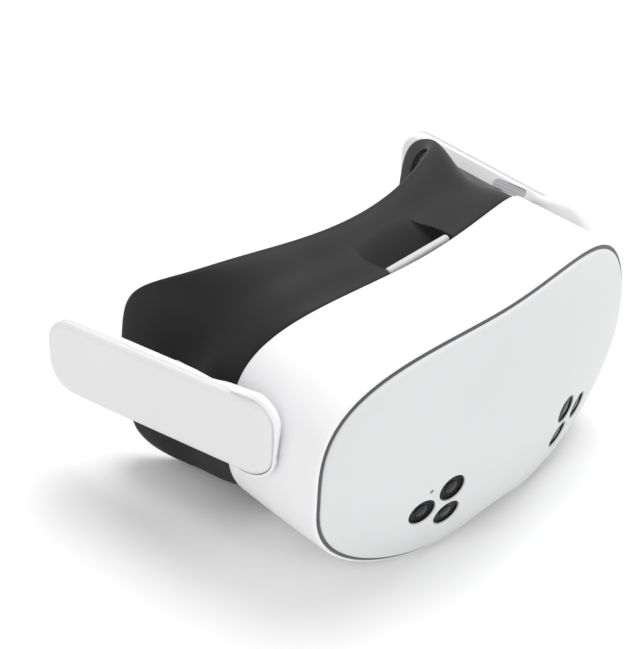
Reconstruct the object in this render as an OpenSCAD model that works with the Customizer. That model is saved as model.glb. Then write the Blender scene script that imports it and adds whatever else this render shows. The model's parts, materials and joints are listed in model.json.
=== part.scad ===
/* [Visor] */
// Width of the faceplate, across the joint line around it
face_w = 180; // [178:0.5:182]
// Height of the faceplate above its middle
face_top = 50; // [49:0.5:51]
// Depth of the faceplate below its middle
face_bottom = 48.5; // [47.5:0.5:49]
// How far the faceplate curves back at its two sides
face_sweep = 20; // [19:0.5:21]
// How far the faceplate curves back at its top and bottom
face_crown = 11; // [10:0.5:12]
// Wall thickness of the housing
wall = 2.2; // [2:0.1:2.4]
// Distance from the front to the housing's rear edge, on the centre line
rear_mid = 55.6; // [55:0.2:56]
// How far the housing's rear edge sweeps back at the sides
rear_sweep = 18.5; // [18:0.5:19]
// Height of the middle of the face above the surface the headset stands on
mid_h = 46.5; // [46:0.25:47]

/* [Lenses] */
// Distance between the two lens centres at rest
lens_gap = 63; // [62:0.5:64]
// Radius of a lens barrel
barrel_r = 22; // [21:0.5:22]
// Travel of each lens, each way
lens_travel = 2.5; // [2:0.5:2.5]

/* [Cameras] */
// Radius of a camera port in the faceplate
port_r = 6; // [5.6:0.1:6.2]

/* [Arms] */
// Distance from the centre plane to an arm's outer face at the pivot
arm_x = 95.3; // [95:0.1:95.6]
// Outward splay of an arm towards the rear, in degrees
arm_splay = 7; // [6.5:0.25:7.5]
// Downward pitch of an arm at rest, in degrees
arm_pitch = 6.8; // [6:0.2:7.6]
// Height of an arm
arm_h = 33; // [32:0.5:34]
// Distance from the front of the visor to the arm's rear tip
arm_end = 148; // [146:0.5:150]

/* [Facial interface] */
// Depth of the interface's rear rim behind the front, at the forehead
brow_y = 91.5; // [90:0.5:93]
// Thickness of the foam cushion
cushion_t = 8; // [7:0.5:9]

/* [Hidden] */
$fn = 64;
LEFT = 1;    // wearer's left, +X
RIGHT = -1;  // wearer's right, -X
STEPS = 96;  // directions around a rounded outline
face_half = face_w / 2;
face_lean = 2.8;
joint_gap = 0.6;    // half the width of the groove around the faceplate
lip = 1.8;          // how far the housing's lip stands outside the groove's middle
flat_z = -mid_h;    // underside flats

// An outline is [half width, top, bottom, top roundness, bottom roundness, nose arch height, arch width].
front_edge = [face_half + lip, face_top + lip, face_bottom + lip, 2.96, 2.25, 9.5, 20];
rear_edge = [84.6, 51, 50, 3.4, 2.9, 13, 22];
cover_edge = front_edge - (lip + joint_gap) * [1, 1, 1, 0, 0, 0, 0];
rim_edge = [80.4, 50.3, 47.5, 4.75, 7, 26, 21];
shield_waist = [3.1, 2.4, 0, 0.65, 0, 0, 0]; // how much the light shield narrows halfway back

function mix(a, b, k) = a + (b - a) * k;
function shrink(edge, d) = edge - d * [1, 1, 1, 0, 0, 0, 0];
function reach(t, a, b, n) = pow(pow(abs(cos(t)) / a, n) + pow(abs(sin(t)) / b, n), -1 / n);
function outline(t, edge) = let (
    up = sin(t) >= 0,
    r = reach(t, edge[0], up ? edge[1] : edge[2], up ? edge[3] : edge[4]),
    x = r * cos(t)
) [x, r * sin(t) + (up ? 0 : edge[5] * exp(-pow(x / edge[6], 2)))];
function turns(steps) = [for (i = [0 : steps - 1]) i * 360 / steps];

// Depth of the faceplate's surface, of its slopes, and of the housing's rear edge
function face_y(x, z) =
    face_sweep * pow(x / face_half, 2) + face_lean * z / 50 + face_crown * pow(z / 50, 2);
function slope_x(x) = 2 * face_sweep * x / pow(face_half, 2);
function slope_z(z) = face_lean / 50 + 2 * face_crown * z / 2500;
function rear_y(x) = rear_mid + rear_sweep * pow(x / face_half, 2);

// A point of the housing: s runs from 0 at the front lip to 1 at the rear edge, d is the depth below its skin
function shell_point(t, s, d) = let (
    p = outline(t, shrink(mix(front_edge, rear_edge, s), d)),
    z = max(p[1], flat_z + d * min(1, 0.15 + s / 0.12))
) [p[0], mix(face_y(p[0], z) + joint_gap, rear_y(p[0]), s), z];

// Depth of the facial interface's rear rim, which wraps round the temples
function rim_y(x, z) = let (
    k = abs(x) / rim_edge[0],
    upper = brow_y + 26.5 * pow(k, 2) + 17.5 * pow(k, 14),
    lower = brow_y - 5 + 26 * pow(k, 2) + 17 * pow(k, 8)
) mix(upper, lower, max(0, min(1, -z / 30)));
// A point of the light shield: s runs from 0 behind the housing to 1 at the rim, d is the depth below it
function shield_point(t, s, d) = let (
    w = max(0, min(1, 1.6 * (s - 0.06))),
    k = w * w * (3 - 2 * w),
    m = pow(sin(180 * max(0, min(1, (s - 0.06) / 0.88))), 2),
    edge = mix(shrink(rear_edge, 1.4), rim_edge, k) - m * shield_waist,
    p = outline(t, shrink(edge, d)),
    z = max(p[1], flat_z + 0.4 + d)
) [p[0], mix(rear_y(p[0]) + 0.3, rim_y(p[0], z), s), z];

// A solid swept round a closed loop, from a list of equal closed sections
module loop_solid(sections) {
    n = len(sections);
    m = len(sections[0]);
    function at(i, j) = (i % n) * m + (j % m);
    polyhedron(
        points = [for (s = sections) each s],
        faces = [for (i = [0 : n - 1], j = [0 : m - 1]) each [
            [at(i, j), at(i + 1, j + 1), at(i + 1, j)],
            [at(i, j), at(i, j + 1), at(i + 1, j + 1)]
        ]]
    );
}

// A closed dome: rings of points from a front middle point, over the rim, to a back middle point
module dome_solid(front, rings, back) {
    m = len(rings);
    n = len(rings[0]);
    last = m * n + 1;
    function at(j, i) = 1 + j * n + i % n;
    polyhedron(
        points = concat([front], [for (r = rings) each r], [back]),
        faces = concat(
            [for (i = [0 : n - 1]) [0, at(0, i), at(0, i + 1)]],
            [for (j = [0 : m - 2], i = [0 : n - 1]) each [
                [at(j, i), at(j + 1, i), at(j + 1, i + 1)],
                [at(j, i), at(j + 1, i + 1), at(j, i + 1)]
            ]],
            [for (i = [0 : n - 1]) [last, at(m - 1, i + 1), at(m - 1, i)]]
        )
    );
}

// From the middle of the front face to the base centre, where the part's origin is
module placed() {
    translate([0, -arm_end / 2, mid_h]) children();
}
// Children's +Z points forwards, out of the face
module facing(x, y, z) {
    translate([x, y, z]) rotate([90, 0, 0]) children();
}
// Children's +Z points straight out of the faceplate at x, z
module on_face(x, z) {
    translate([x, face_y(x, z), z]) rotate([90 - atan(slope_z(z)), 0, atan(slope_x(x))]) children();
}
// Children's +Z points straight out of the housing at direction t and depth s
module on_shell(t, s) {
    along = shell_point(t + 1, s, 0) - shell_point(t - 1, s, 0);
    translate(shell_point(t, s, 0)) rotate([0, 180 - atan2(along[2], along[0]), 0]) children();
}
module tube(r, bore, h) {
    difference() {
        cylinder(r = r, h = h);
        translate([0, 0, -1]) cylinder(r = bore, h = h + 2);
    }
}
// A rounded slab of two half discs and a block between them
module slot(length, width, h) {
    for (side = [-1, 1]) translate([side * (length - width) / 2, 0, 0]) cylinder(d = width, h = h);
    translate([-(length - width) / 2, -width / 2, 0]) cube([length - width, width, h]);
}
module screw(head_r, head_h, shank_r, shank_h) {
    difference() {
        cylinder(r = head_r, h = head_h);
        translate([0, 0, head_h * 0.4]) cylinder(r = head_r * 0.45, h = head_h, $fn = 6);
    }
    translate([0, 0, -shank_h]) cylinder(r = shank_r, h = shank_h + 0.01);
}

/* Cameras */
port_places = [[34.6, -10.8], [47.2, -17.4], [34.1, -24.3]];
port_recess = 1.0;       // depth of a window's face below the faceplate
window_t = 1.1;
led_place = [-44.9, -7.5];
led_r = 0.8;
module at_ports() {
    for (side = [LEFT, RIGHT], p = port_places) on_face(side * p[0], p[1]) children();
}

module main_shell() {
    outside = [[0.035, wall], [0.012, 1.2], [0, 0.9], [0.004, 0.35], [0.03, 0], [0.15, 0], [0.35, 0],
               [0.55, 0], [0.75, 0], [0.9, 0], [0.975, 0], [0.992, 0.35], [1, 0.9]];
    inside = [[1, wall], [0.8, wall], [0.55, wall], [0.3, wall]];
    profile = concat(outside, inside);
    color("white") placed() difference() {
        loop_solid([for (t = turns(STEPS)) [for (p = profile) shell_point(t, p[0], p[1])]]);
        for (side = [LEFT, RIGHT]) at_pivot(side) {
            translate([0, 0, -20]) cylinder(r = hub_r + 0.1, h = 30);
            translate([0, 0, -20]) cylinder(r = hub_flange + 0.1, h = 11.7 + hub_flange_t);
        }
        on_shell(power_t, power_s) translate([0, 0, -6]) cylinder(r = power_r + 0.2, h = 12);
        on_shell(action_t, action_s) translate([0, 0, -6]) cylinder(r = action_r + 0.2, h = 12);
        on_shell(volume_t, volume_s) rotate([0, 0, 90]) translate([0, 0, -6])
            slot(volume_l + 0.9, volume_w + 0.5, 12);
        on_shell(usb_t, usb_s) rotate([0, 0, 90]) translate([0, 0, -6]) slot(usb_l + 0.3, usb_w + 0.3, 12);
        for (p = contact_places) translate([p[0], p[1], flat_z - 1]) cylinder(r = contact_r + 0.15, h = 6);
    }
}

module front_cover() {
    t_cover = 2;
    over = [[0.12, 0], [0.26, 0], [0.4, 0], [0.54, 0], [0.67, 0], [0.79, 0], [0.88, 0], [0.945, 0],
            [0.982, 0], [0.994, 0.25], [1, 0.9], [0.994, 2.6]];
    under = [[0.975, 2.6], [0.965, t_cover], [0.85, t_cover], [0.68, t_cover], [0.5, t_cover],
             [0.32, t_cover], [0.15, t_cover]];
    function ring(k, drop) = [for (t = turns(STEPS)) let (p = k * outline(t, cover_edge))
        [p[0], face_y(p[0], p[1]) + drop, p[1]]];
    color("whitesmoke") placed() difference() {
        dome_solid([0, face_y(0, 0), 0], [for (k = concat(over, under)) ring(k[0], k[1])],
                   [0, face_y(0, 0) + t_cover, 0]);
        at_ports() translate([0, 0, -6]) cylinder(r = port_r, h = 12);
        on_face(led_place[0], led_place[1]) translate([0, 0, -6]) cylinder(r = led_r + 0.05, h = 12);
    }
}

module cover_gasket() {
    profile = [[0.12, 0.7], [1.1, 0.7], [1, 1], [0.12, 1.8]];
    color("gray") placed() loop_solid([for (t = turns(STEPS)) [for (p = profile)
        let (q = outline(t, shrink(cover_edge, -p[0]))) [q[0], face_y(q[0], q[1]) + p[1], q[1]]]]);
}

module camera_windows() {
    color([0.08, 0.08, 0.09]) placed() at_ports()
        translate([0, 0, -port_recess - window_t]) cylinder(r = port_r - 0.1, h = window_t);
}
module camera_modules() {
    color("dimgray") placed() at_ports() translate([0, 0, -port_recess - window_t - 4.3]) {
        tube(4.4, 2.6, 4.2);
        translate([-4.6, -4.6, -2]) cube([9.2, 9.2, 2]);
    }
}
module status_led() {
    color("lightgray") placed() on_face(led_place[0], led_place[1]) {
        translate([0, 0, -3]) cylinder(r = led_r, h = 2.85);
        translate([0, 0, -4]) cylinder(r = 1.6, h = 1);
    }
}

/* Inside the visor */
plate_y = 30;      // rear face of the chassis plate
board_y = 27.4;    // rear face of the mainboard
chassis_w = 152;
chassis_h = 66;
boss_places = [for (x = [-71, 71], z = [-14, 14]) [x, z]];
board_screws = [[-52, 24], [52, 24], [-52, -28], [52, -28]];
module rounded_plate(w, h, r, t) {
    for (x = [-1, 1], z = [-1, 1]) translate([x * (w / 2 - r), z * (h / 2 - r), 0]) cylinder(r = r, h = t);
    translate([-w / 2, -h / 2 + r, 0]) cube([w, h - 2 * r, t]);
    translate([-w / 2 + r, -h / 2, 0]) cube([w - 2 * r, h, t]);
}
module chassis_frame() {
    color("silver") placed() difference() {
        union() {
            facing(0, plate_y + 1.6, -0.5) rounded_plate(chassis_w, chassis_h, 20, 1.6);
            for (p = boss_places) facing(p[0], bezel_y - 0.1, p[1])
                cylinder(r = 3.4, h = bezel_y - plate_y);
        }
        facing(0, plate_y + 4, 0) rounded_plate(58, 22, 6, 8);
        for (side = [-1, 1]) facing(side * 48, plate_y + 4, 2) rounded_plate(16, 40, 5, 8);
        for (p = boss_places) facing(p[0], bezel_y + 1, p[1]) cylinder(r = 1.25, h = 12);
        for (p = board_screws) facing(p[0], plate_y + 4, p[1]) cylinder(r = 1.05, h = 8);
    }
}
module chassis_screws() {
    color("darkgray") placed() for (p = board_screws)
        facing(p[0], board_y - 1.65, p[1]) screw(2, 1.2, 1, 5.4);
}
module mainboard() {
    color("darkgreen") placed() difference() {
        union() {
            facing(0, board_y, -1) rounded_plate(124, 66, 6, 1.6);
            for (x = [-40, -28, 28, 40]) facing(x, board_y - 1.59, 20) translate([-4, -3, 0])
                cube([8, 6, 1.1]);
        }
        for (p = board_screws) facing(p[0], board_y + 2, p[1]) cylinder(r = 1.05, h = 8);
    }
}
module processor_shield() {
    color("lightgray") placed() facing(0, board_y - 1.62, 4) difference() {
        rounded_plate(34, 28, 2, 1.8);
        translate([0, 0, -0.01]) rounded_plate(32.8, 26.8, 1.5, 1.3);
    }
}
module heat_sink() {
    fins = 13;
    color("peru") placed() facing(0, board_y - 3.45, 4) {
        rounded_plate(50, 20, 3, 0.8);
        for (i = [0 : fins - 1]) translate([-24 + i * 4 - 0.4, -8, 0.79]) cube([0.8, 16, 1.2]);
    }
}

/* Fan */
fan_z = -20.5;
fan_y = 20.6;
fan_r = 14.4;
module fan_housing() {
    color("black") placed() facing(0, fan_y, fan_z) {
        difference() {
            cylinder(r = 16.4, h = 8);
            translate([0, 0, 1]) cylinder(r = 15, h = 10);
            translate([-20, 6, 2.5]) cube([40, 12, 4]);
        }
        difference() {
            translate([0, 0, 0.5]) cylinder(r = 2.4, h = 2);
            translate([0, 0, 1.4]) cylinder(r = 1.05, h = 3);
        }
    }
}
module fan_rotor() {
    blades = 17;
    color("dimgray") placed() facing(0, fan_y, fan_z) {
        translate([0, 0, 1.5]) cylinder(r = 1, h = 1.6);
        translate([0, 0, 3]) cylinder(r = 7, h = 4.4);
        for (i = [0 : blades - 1]) rotate([0, 0, i * 360 / blades])
            translate([6.6, -0.35, 3]) cube([fan_r - 6.9, 0.7, 4]);
    }
}
module battery_pack() {
    color("darkslategray") placed() facing(0, 21.6, 22) {
        rounded_plate(66, 28, 3, 6.4);
        translate([-6, -17, 0.5]) cube([12, 3.4, 2]);
    }
}
module display_panel() {
    color([0.05, 0.05, 0.07]) placed() facing(0, 37.4, -1) rounded_plate(124, 56, 3, 1.8);
}

/* Lenses and what they slide on */
lens_z = -1;
bezel_y = 57.4;     // front face of the bezel
bezel_t = 2;
barrel_front = 42;
barrel_l = 20;
rail_r = 1.2;
rail_y = 48;
rail_off = 25;      // rails above and below the lens centres
pinion_r = 4.8;     // pitch radius
pinion_teeth = 12;
tooth = 2 * PI * pinion_r / pinion_teeth;
pinion_y = 46;      // rear face of pinion and racks
rack_t = 3;
module rear_bezel() {
    edge = shrink(rear_edge, 7.2);
    color([0.12, 0.12, 0.13]) placed() difference() {
        facing(0, bezel_y + bezel_t, 0) linear_extrude(bezel_t)
            polygon([for (t = turns(STEPS)) outline(t, edge)]);
        for (side = [LEFT, RIGHT]) facing(side * lens_gap / 2, bezel_y + 6, lens_z)
            slot(2 * (barrel_r + lens_travel + 0.7), 2 * (barrel_r + 0.7), 10);
        facing(0, bezel_y + 6, 14) slot(9, 5, 10);
        for (p = boss_places) facing(p[0], bezel_y + 6, p[1]) cylinder(r = 1.25, h = 10);
        translate([-vent_half - cheek_t - 0.5, bezel_y - 1, scoop_z - 0.5])
            cube([2 * (vent_half + cheek_t) + 1, 10, 20]);
    }
}
module bezel_screws() {
    color("darkgray") placed() for (p = boss_places)
        translate([p[0], bezel_y + bezel_t, p[1]]) rotate([-90, 0, 0]) screw(2.1, 1.1, 1.2, 5);
}
module lens_rails() {
    color("silver") placed() for (side = [-1, 1])
        translate([-63, rail_y, lens_z + side * rail_off]) rotate([0, 90, 0]) cylinder(r = rail_r, h = 126);
}
module rack_teeth(count) {
    for (i = [0 : count - 1]) translate([(i - (count - 1) / 2) * tooth, 0, 0])
        polygon([[-0.85, 0], [-0.3, 1.3], [0.3, 1.3], [0.85, 0]]);
}
// Drawn for the left lens; its rack runs over the pinion, and the right one runs under it
module lens_barrel(side) {
    placed() translate([side * lens_gap / 2, 0, lens_z]) rotate([0, side > 0 ? 0 : 180, 0]) {
        difference() {
            union() {
                facing(0, barrel_front + barrel_l, 0) cylinder(r = barrel_r, h = barrel_l);
                for (end = [-1, 1]) translate([-8, rail_y - 3, end * rail_off - 3.4]) cube([16, 6, 6.8]);
                translate([-34.5, pinion_y - rack_t, pinion_r + 1.1]) cube([16, rack_t, 2.6]);
            }
            facing(0, barrel_front + barrel_l + 1, 0) cylinder(r = barrel_r - 1.8, h = barrel_l + 2);
            for (end = [-1, 1]) translate([-30, rail_y, end * rail_off]) rotate([0, 90, 0])
                cylinder(r = rail_r + 0.05, h = 60);
        }
        translate([-lens_gap / 2, pinion_y, pinion_r + 1.12]) rotate([90, 0, 0]) linear_extrude(rack_t)
            mirror([0, 1]) translate([tooth / 2, 0]) rack_teeth(3);
    }
}
module left_lens_barrel() { color([0.16, 0.16, 0.17]) lens_barrel(LEFT); }
module right_lens_barrel() { color([0.16, 0.16, 0.17]) lens_barrel(RIGHT); }
module lens(side) {
    bulge_r = 62;
    placed() facing(side * lens_gap / 2, 61.2, lens_z) {
        intersection() {
            cylinder(r = barrel_r - 1.9, h = 7);
            translate([0, 0, bulge_r]) sphere(r = bulge_r);
        }
    }
}
module left_lens() { color([0.75, 0.8, 0.85, 0.4]) lens(LEFT); }
module right_lens() { color([0.75, 0.8, 0.85, 0.4]) lens(RIGHT); }
module lens_pinion() {
    color("ivory") placed() facing(0, pinion_y, lens_z) difference() {
        linear_extrude(rack_t) union() {
            circle(r = pinion_r - 1.1);
            for (i = [0 : pinion_teeth - 1]) rotate(i * 360 / pinion_teeth + 90)
                polygon([[pinion_r - 1.6, -0.72], [pinion_r - 0.1, -0.5], [pinion_r + 0.75, -0.22],
                         [pinion_r + 0.75, 0.22], [pinion_r - 0.1, 0.5], [pinion_r - 1.6, 0.72]]);
        }
        translate([0, 0, -1]) cylinder(r = 1.05, h = rack_t + 2);
    }
}
module pinion_pin() {
    color("silver") placed() facing(0, pinion_y + 1.2, lens_z) {
        cylinder(r = 1, h = 6.9);
        cylinder(r = 1.8, h = 1);
    }
}
module proximity_sensor() {
    color([0.1, 0.08, 0.12]) placed() facing(0, bezel_y + bezel_t + 0.6, 14) slot(8.6, 4.6, 4);
}

/* Openings and controls of the housing */
vent_half = 18;     // half the width of the air outlet at the top
vent_rear = 76;     // where the outlet's recess ends
power_t = -10;
power_s = 0.3;
power_r = 3.6;
action_t = 218;
action_s = 0.45;
action_r = 3.4;
volume_t = -38;
volume_s = 0.45;
volume_l = 17;
volume_w = 4.4;
usb_t = -11;
usb_s = 0.72;
usb_l = 9;
usb_w = 3.2;
contact_places = [for (i = [0 : 3]) [32 + 3.6 * i, 40]];
contact_r = 1.1;
module vent_grille() {
    color("white") placed() difference() {
        union() {
            translate([-vent_half + 0.4, rear_mid + 3.1, 47.3]) rotate([0, 90, 0])
                cylinder(r = 2.3, h = 2 * vent_half - 0.8);
            translate([-vent_half + 0.4, rear_mid + 0.8, 44]) cube([2 * vent_half - 0.8, 4.6, 3.3]);
        }
        for (i = [-8 : 8]) translate([i * 2 - 0.5, rear_mid + 2, 43]) cube([1, 8, 3.4]);
    }
}
module charge_contacts() {
    color("gold") placed() for (p = contact_places) translate([p[0], p[1], flat_z + 0.4]) {
        cylinder(r = contact_r, h = 2.2);
        translate([0, 0, 2.2]) cylinder(r = 1.5, h = 1.2);
    }
}
module usb_port() {
    color("darkgray") placed() on_shell(usb_t, usb_s) rotate([0, 0, 90]) translate([0, 0, -8.4])
        difference() {
            slot(usb_l, usb_w, 8);
            translate([0, 0, 1]) slot(usb_l - 0.8, usb_w - 0.8, 8);
        }
}
module power_button() {
    color("white") placed() on_shell(power_t, power_s) {
        translate([0, 0, -3.5]) cylinder(r = power_r, h = 4.1);
        translate([0, 0, -4.3]) cylinder(r = power_r + 0.8, h = 0.9);
    }
}
module action_button() {
    color("white") placed() on_shell(action_t, action_s) {
        translate([0, 0, -3.5]) cylinder(r = action_r, h = 4.1);
        translate([0, 0, -4.3]) cylinder(r = action_r + 0.8, h = 0.9);
    }
}
module volume_rocker() {
    color("white") placed() on_shell(volume_t, volume_s) rotate([0, 0, 90]) difference() {
        union() {
            translate([0, 0, -3]) slot(volume_l, volume_w, 3.5);
            translate([-2, -volume_w / 2, -6]) cube([4, volume_w, 3.1]);
        }
        translate([0, 10, -4.6]) rotate([90, 0, 0]) cylinder(r = 0.75, h = 20);
    }
}
module rocker_pin() {
    color("silver") placed() on_shell(volume_t, volume_s) translate([-4.5, 0, -4.6]) rotate([0, 90, 0])
        cylinder(r = 0.7, h = 9);
}

/* Facial interface */
cheek_t = 1.4;      // side walls of the air outlet's scoop
cheek_z = 45.2;     // their top
scoop_y = 61.6;     // where the scoop's floor starts, its height there and its slope
scoop_z = 38;
scoop_a = 31;
module vent_notch() {
    translate([-vent_half, 0, 30]) cube([2 * vent_half, vent_rear, 40]);
}
module facial_frame() {
    profile = [[0, 2.4], [0, 4.8], [1, 4.8], [1, 2.4]];
    frame_l = 6.4;
    function at(t, p) = let (q = outline(t, shrink(rear_edge, 1.4 + p[1])))
        [q[0], rear_y(q[0]) - 3 + frame_l * p[0], max(q[1], flat_z + 0.4 + p[1])];
    color([0.2, 0.2, 0.21]) placed() {
        difference() {
            loop_solid([for (t = turns(STEPS)) [for (p = profile) at(t, p)]]);
            vent_notch();
        }
        difference() {
            union() {
                translate([-vent_half - cheek_t, scoop_y, scoop_z]) rotate([scoop_a, 0, 0])
                    cube([2 * (vent_half + cheek_t), 30, 1.6]);
                for (side = [-1, 1])
                    translate([side * (vent_half + cheek_t / 2) - cheek_t / 2, scoop_y - 4, scoop_z])
                        cube([cheek_t, 30, cheek_z - scoop_z]);
            }
            translate([-50, scoop_y - 4.01, cheek_z]) cube([100, 50, 20]);
            translate([-50, scoop_y - 10, scoop_z - 10]) rotate([scoop_a, 0, 0]) translate([0, 5, -9.9])
                cube([100, 60, 15.45]);
            translate([-50, vent_rear - 0.5, 20]) cube([100, 20, 60]);
        }
    }
}
module light_shield() {
    skin = 1.8;
    outside = [[0, skin], [0, 0], [0.12, 0], [0.26, 0], [0.42, 0], [0.58, 0], [0.74, 0], [0.88, 0],
               [0.97, 0.2], [1, 1.2]];
    inside = [[1, skin + 0.8], [0.8, skin], [0.55, skin], [0.3, skin], [0.14, skin]];
    color([0.2, 0.2, 0.21]) placed() difference() {
        loop_solid([for (t = turns(STEPS))
            [for (p = concat(outside, inside)) shield_point(t, p[0], p[1])]]);
        vent_notch();
    }
}
module face_cushion() {
    cushion_w = 12;
    pad = [[0.2, 0.12], [0, 0.5], [0.15, 0.9], [0.5, 1], [0.85, 0.9], [1, 0.5], [0.8, 0.1]];
    function at(t, p) =
        shield_point(t, 1, 3 + p[0] * cushion_w) + [0, 0.3 - cushion_t * (1 - p[1]), 0];
    color([0.25, 0.25, 0.26]) placed() loop_solid([for (t = turns(STEPS)) [for (p = pad) at(t, p)]]);
}

/* Arms */
pivot_y = 58;
pivot_z = 14;
hub_r = 7;
hub_flange = 9.2;
hub_flange_t = 1.8;
pin_r = 3.5;
arm_inner_x = 89.4;      // inner face of the arm beside the housing
arm_t = 9;               // thickness of the arm behind the housing
cover_t = 2.6;
seat = cover_t + 0.15;   // depth of the face that the outer cover is fixed to
knuckle_r = 18.3;        // flat disc of the knuckle that faces the housing
band_sink = 0.9;         // depth of the knuckle's raised band below the outer cover's face
arm_corner = 12;         // corner radius at the arm's rear end
// Distance along the arm from the pivot to the centres of its rear corners
arm_reach = (arm_end - pivot_y - arm_corner - (arm_h / 2 - arm_corner) * sin(arm_pitch)) / cos(arm_pitch);
function arm_out(y) = arm_x + (y - pivot_y) * tan(arm_splay);
// Children's +Z points outwards along the pivot
module at_pivot(side) {
    translate([side * arm_inner_x, pivot_y, pivot_z]) rotate([0, side * 90, 0]) children();
}
module mirrored(side) {
    mirror([side > 0 ? 0 : 1, 0, 0]) children();
}
// Rounded corners seen from the side, as places along and across the arm from the pivot, and radii
rear_corners = [for (end = [-1, 1]) [arm_reach, end * (arm_h / 2 - arm_corner), arm_corner]];
plate_corners = concat([[-6.3, 8.2, 9], [-2.5, 12.5 - arm_h / 2, 12.5]], rear_corners);
knuckle_corners = [[-7, 8.8, 10.5], [-3, -5, 12.8], for (c = rear_corners) [10, c[1], c[2]]];
module side_shape(corners, grow) {
    translate([pivot_y, pivot_z]) rotate(-arm_pitch) hull()
        for (c = corners) translate([c[0], c[1]]) circle(r = c[2] + grow);
}
// A side shape, cut to between two lines in plan
module arm_slab(plan, grow, corners = plate_corners) {
    intersection() {
        translate([70, 0, 0]) rotate([90, 0, 90]) linear_extrude(60) side_shape(corners, grow);
        translate([0, 0, -60]) linear_extrude(140) polygon(plan);
    }
}
// Plan of a layer that lies between two depths below the arm's outer face
function layer(outer, inner) = [[arm_out(30) - inner, 30], [arm_out(30) - outer, 30],
    [arm_out(arm_end + 5) - outer, arm_end + 5], [arm_out(arm_end + 5) - inner, arm_end + 5]];
pocket_y = [68, 112];    // ends of the hollow for the speaker
bevel = 3.6;             // bevel along the arm's inner top edge
grille_u = 25;           // place of the speaker outlet along the arm
grille_l = 17;
grille_w = 3.6;
// Children lie on the bevel, with +X along the arm and +Z out of the bevel
module on_bevel(u) {
    on_arm(u, arm_h / 2 - bevel / 2) translate([arm_inner_x + bevel / 2, 0, 0])
        rotate([0, -45, 0]) rotate([0, 0, 90]) children();
}
module arm_cover(side) {
    placed() mirrored(side) difference() {
        arm_slab(layer(0, cover_t), 0);
        for (p = screw_places) on_arm(p[0], p[1]) translate([screw_x(p[0]), 0, 0]) rotate([0, 90, 0])
            cylinder(r = 0.85, h = screw_l(p[0]) + 0.1);
    }
}
// Plan of the inner body: straight beside the housing, then parallel to the outer face
bend_y = pivot_y + (arm_inner_x + arm_t - arm_x) / tan(arm_splay);
inner_plan = [[arm_inner_x, 30], [arm_out(30) - seat, 30], [arm_out(arm_end + 5) - seat, arm_end + 5],
              [arm_out(arm_end + 5) - arm_t, arm_end + 5], [arm_inner_x, bend_y]];
screw_places = [[12.5, 0], [78, 0]];
screw_bite = 1.5;        // how far an arm screw reaches into the outer cover
function screw_x(u) = max(arm_inner_x, arm_out(pivot_y + u * cos(arm_pitch)) - arm_t);
function screw_l(u) = arm_out(pivot_y + u * cos(arm_pitch)) - cover_t + screw_bite - screw_x(u);
module on_arm(u, v) {
    translate([0, pivot_y, pivot_z]) rotate([-arm_pitch, 0, 0]) translate([0, u, v]) children();
}
module arm_inner(side) {
    placed() mirrored(side) difference() {
        union() {
            arm_slab(inner_plan, 0);
            translate([arm_inner_x, pivot_y, pivot_z]) rotate([0, 90, 0])
                cylinder(r = knuckle_r, h = arm_out(pivot_y - knuckle_r) - seat - arm_inner_x);
            arm_slab([[arm_inner_x + 0.6, 30], [arm_out(30) - band_sink, 30],
                      [arm_out(90) - band_sink, 90], [arm_inner_x + 0.6, 90]], 0, knuckle_corners);
        }
        arm_slab(layer(-1, seat), 0.3);
        intersection() {
            arm_slab([[arm_inner_x + 1.6, pocket_y[0]], [130, pocket_y[0]], [130, pocket_y[1]],
                      [arm_out(pocket_y[1]) - arm_t + 1.6, pocket_y[1]],
                      [arm_inner_x + 1.6, pocket_y[0] + 18]], -4);
            translate([80, 0, -60]) cube([60, 200, 120]);
        }
        at_pivot(LEFT) translate([0, 0, -1]) cylinder(r = pin_r + 0.02, h = 2.4);
        on_arm(14, arm_h / 2 - bevel) translate([arm_inner_x, 0, 0]) rotate([0, -45, 0]) cube([20, 90, 20]);
        on_bevel(grille_u) translate([0, 0, -1.2]) slot(grille_l + 0.3, grille_w + 0.3, 6);
        for (p = screw_places) on_arm(p[0], p[1]) translate([80, 0, 0]) rotate([0, 90, 0])
            cylinder(r = 0.85, h = 40);
    }
}
module pivot_pin(side) {
    color("silver") placed() at_pivot(side) translate([0, 0, -10.6]) {
        cylinder(r = pin_r, h = 11.9);
        translate([0, 0, -0.4]) cylinder(r = pin_r - 0.8, h = 0.41);
    }
}
module pivot_washer(side) {
    color("darkgray") placed() at_pivot(side) translate([0, 0, -9.8]) tube(6, pin_r + 0.02, 1.2);
}
module pivot_hub(side) {
    color("whitesmoke") placed() at_pivot(side) difference() {
        union() {
            translate([0, 0, -8.4]) cylinder(r = hub_r, h = 8.2);
            translate([0, 0, -8.4]) cylinder(r = hub_flange, h = hub_flange_t);
        }
        translate([0, 0, -12]) cylinder(r = pin_r + 0.05, h = 14);
    }
}
module speaker(side) {
    color("black") placed() mirrored(side) translate([arm_inner_x + 2.7, 82, pivot_z - 2.8])
        rotate([0, 90, 0]) {
            tube(9.4, 6.6, 2.2);
            cylinder(r = 6.6, h = 1.4);
            cylinder(r = 3, h = 2);
        }
}
module speaker_grille(side) {
    color("silver") placed() mirrored(side) on_bevel(grille_u) translate([0, 0, -1.1])
        slot(grille_l, grille_w, 0.9);
}
module arm_screws(side) {
    color("darkgray") placed() mirrored(side) for (p = screw_places) on_arm(p[0], p[1])
        translate([screw_x(p[0]) - 0.25, 0, 0]) rotate([0, -90, 0])
            screw(1.7, 0.9, 0.8, screw_l(p[0]) + 0.25);
}
module left_pivot_hub() { pivot_hub(LEFT); }
module right_pivot_hub() { pivot_hub(RIGHT); }
module left_arm_cover() { color("white") arm_cover(LEFT); }
module right_arm_cover() { color("white") arm_cover(RIGHT); }
module left_arm_inner() { color("whitesmoke") arm_inner(LEFT); }
module right_arm_inner() { color("whitesmoke") arm_inner(RIGHT); }

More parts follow.
